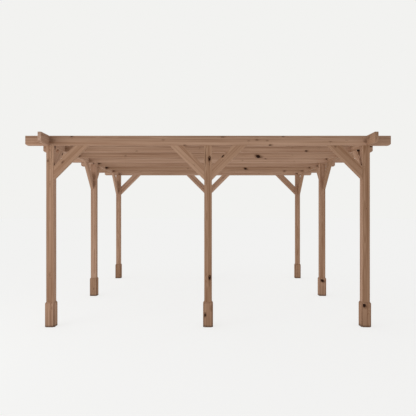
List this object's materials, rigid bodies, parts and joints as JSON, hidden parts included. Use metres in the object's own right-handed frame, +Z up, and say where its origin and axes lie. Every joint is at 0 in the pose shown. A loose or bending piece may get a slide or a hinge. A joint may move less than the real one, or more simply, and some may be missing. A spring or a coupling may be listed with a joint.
{
  "type": "wooden pergola",
  "caption": "Open timber garden pergola: a level grid of halved rafters and side beams on square posts, with knee braces and boarded post feet. Shades a seating area.",
  "frame": {"origin": "ground level, in the middle of the plan", "axes": "+X to the right along the rafters, +Y to the back along the side beams, +Z up"},
  "size_m": [4.8, 4.8, 2.51],
  "materials": {
    "posts": "matte red-brown stain",
    "beams": "matte red-brown stain",
    "braces": "matte red-brown stain",
    "foot_boards": "matte red-brown stain"
  },
  "bodies": {
    "root": {"post_front_left": "posts", "foot_boards_front_left": "foot_boards", "post_front_middle": "posts", "foot_boards_front_middle": "foot_boards", "post_front_right": "posts", "foot_boards_front_right": "foot_boards", "post_left_middle": "posts", "foot_boards_left_middle": "foot_boards", "post_right_middle": "posts", "foot_boards_right_middle": "foot_boards", "post_back_left": "posts", "foot_boards_back_left": "foot_boards", "post_back_middle": "posts", "foot_boards_back_middle": "foot_boards", "post_back_right": "posts", "foot_boards_back_right": "foot_boards", "rafter_front": "beams", "rafter_2": "beams", "rafter_3": "beams", "rafter_4": "beams", "rafter_5": "beams", "rafter_6": "beams", "rafter_7": "beams", "rafter_back": "beams", "side_beam_left": "beams", "side_beam_right": "beams", "brace_front_left": "braces", "brace_front_middle_left": "braces", "brace_front_middle_right": "braces", "brace_front_right": "braces", "brace_back_left": "braces", "brace_back_middle_left": "braces", "brace_back_middle_right": "braces", "brace_back_right": "braces", "brace_left_front": "braces", "brace_left_middle_front": "braces", "brace_left_middle_back": "braces", "brace_left_back": "braces", "brace_right_front": "braces", "brace_right_middle_front": "braces", "brace_right_middle_back": "braces", "brace_right_back": "braces"}
  },
  "joints": []
}
